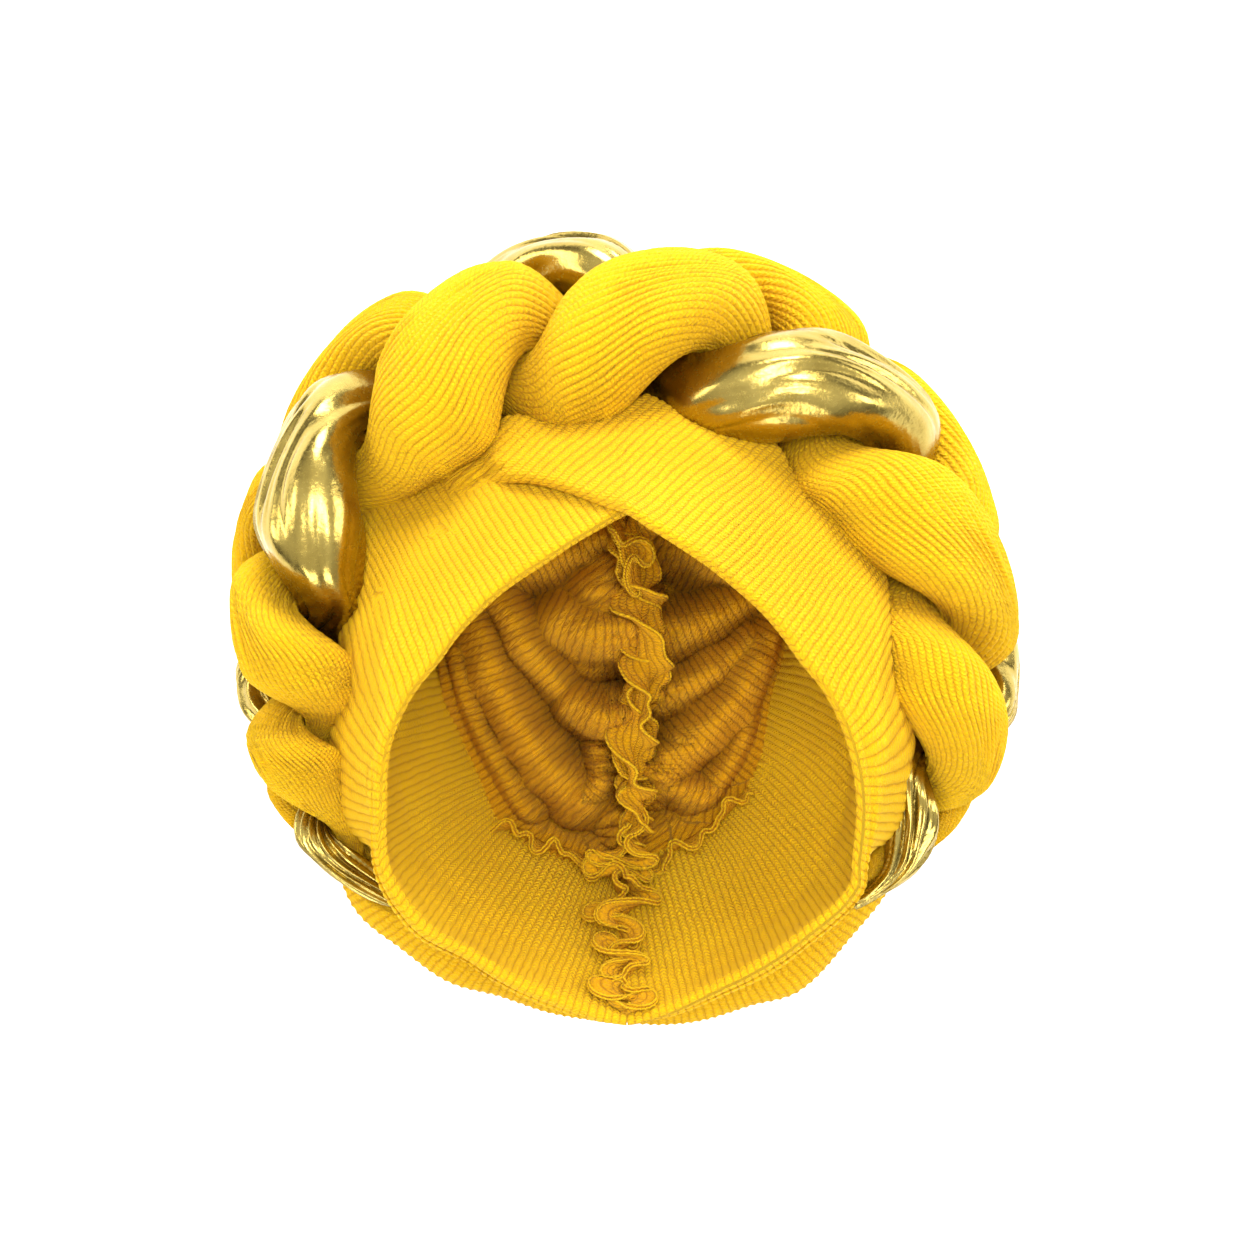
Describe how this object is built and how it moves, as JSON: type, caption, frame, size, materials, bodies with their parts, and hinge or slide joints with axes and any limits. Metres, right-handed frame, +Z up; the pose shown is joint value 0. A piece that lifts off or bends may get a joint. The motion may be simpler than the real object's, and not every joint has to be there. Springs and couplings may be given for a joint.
{
  "type": "turban head wrap",
  "caption": "Soft turban of ribbed knit with a lapped folded brim, a gathered bag crown and a thick plait of three padded strands round the sides.",
  "frame": {"origin": "centre of the bounding box, at the level of the surface that the crown rests on", "axes": "+Z up, out of the head opening; +Y towards the forehead point; +X to the right when seen from above"},
  "size_m": [0.2566, 0.2582, 0.118],
  "materials": {
    "ribbed_knit": "ribbed stretch knit, golden yellow",
    "padded_knit": "ribbed stretch knit over soft filling, golden yellow",
    "gold_foil_cloth": "metallic gold foil on stretch cloth"
  },
  "bodies": {
    "root": {"crown": "ribbed_knit", "band_left": "ribbed_knit", "band_right": "ribbed_knit", "strand_yellow_a": "padded_knit", "strand_yellow_b": "padded_knit", "strand_gold": "gold_foil_cloth", "centre_seam_frill": "ribbed_knit", "cross_seam_left": "ribbed_knit", "cross_seam_right": "ribbed_knit"}
  },
  "joints": []
}
